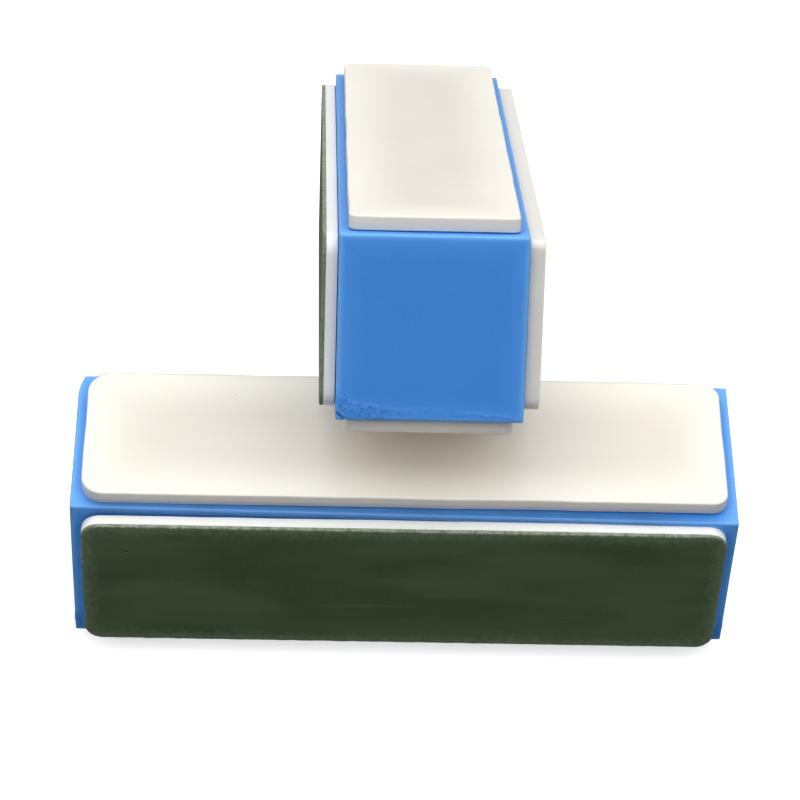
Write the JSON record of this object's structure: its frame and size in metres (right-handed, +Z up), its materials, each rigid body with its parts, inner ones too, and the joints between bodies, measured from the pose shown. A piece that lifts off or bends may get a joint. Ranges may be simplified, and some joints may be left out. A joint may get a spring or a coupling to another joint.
{
  "type": "magnetic glass cleaner",
  "caption": "Blue square-section hand blocks for cleaning tank glass, faced with white rubbing plates and a dark green scrubbing pad, the upper block leaning on the lower.",
  "frame": {"origin": "middle of the lower block's bottom plate, on the surface that it rests on", "axes": "+X along the lower block, +Y away from its scrubbing pad and towards the upper block's heel, +Z up"},
  "size_m": [0.091, 0.0963, 0.0681],
  "materials": {
    "core_blue": "smooth satin blue, solid colour right through",
    "plate_white": "satin off-white with soft broad reflections",
    "facing_green": "fine-grained dark green abrasive facing, lighter at its rubbed rim",
    "tape_grey": "thin dull blue-grey adhesive tape",
    "tray_plastic": "moulded black plastic",
    "magnet_ferrite": "dark ground ferrite",
    "keeper_steel": "plain rolled steel strip"
  },
  "bodies": {
    "lower_block": {"lower_core_block": "core_blue", "lower_top_plate": "plate_white", "lower_bottom_plate": "plate_white", "lower_rear_plate": "plate_white", "lower_pad_backing": "plate_white", "lower_scrub_facing": "facing_green", "lower_steel_keeper": "keeper_steel", "lower_magnet_tray": "tray_plastic", "lower_magnet_1": "magnet_ferrite", "lower_magnet_2": "magnet_ferrite", "lower_magnet_3": "magnet_ferrite", "lower_magnet_4": "magnet_ferrite", "lower_pocket_lid": "core_blue", "lower_top_tape": "tape_grey", "lower_pad_tape": "tape_grey", "lower_bottom_tape": "tape_grey", "lower_rear_tape": "tape_grey"},
    "upper_block": {"upper_core_block": "core_blue", "upper_top_plate": "plate_white", "upper_bottom_plate": "plate_white", "upper_rear_plate": "plate_white", "upper_pad_backing": "plate_white", "upper_scrub_facing": "facing_green", "upper_steel_keeper": "keeper_steel", "upper_magnet_tray": "tray_plastic", "upper_magnet_1": "magnet_ferrite", "upper_magnet_2": "magnet_ferrite", "upper_magnet_3": "magnet_ferrite", "upper_magnet_4": "magnet_ferrite", "upper_pocket_lid": "core_blue", "upper_top_tape": "tape_grey", "upper_pad_tape": "tape_grey", "upper_bottom_tape": "tape_grey", "upper_rear_tape": "tape_grey"}
  },
  "joints": [
    {"name": "upper_lift", "type": "slide", "parent": "lower_block", "child": "upper_block", "axis": [0, 0, 1], "range_m": [0, 0.06]}
  ]
}
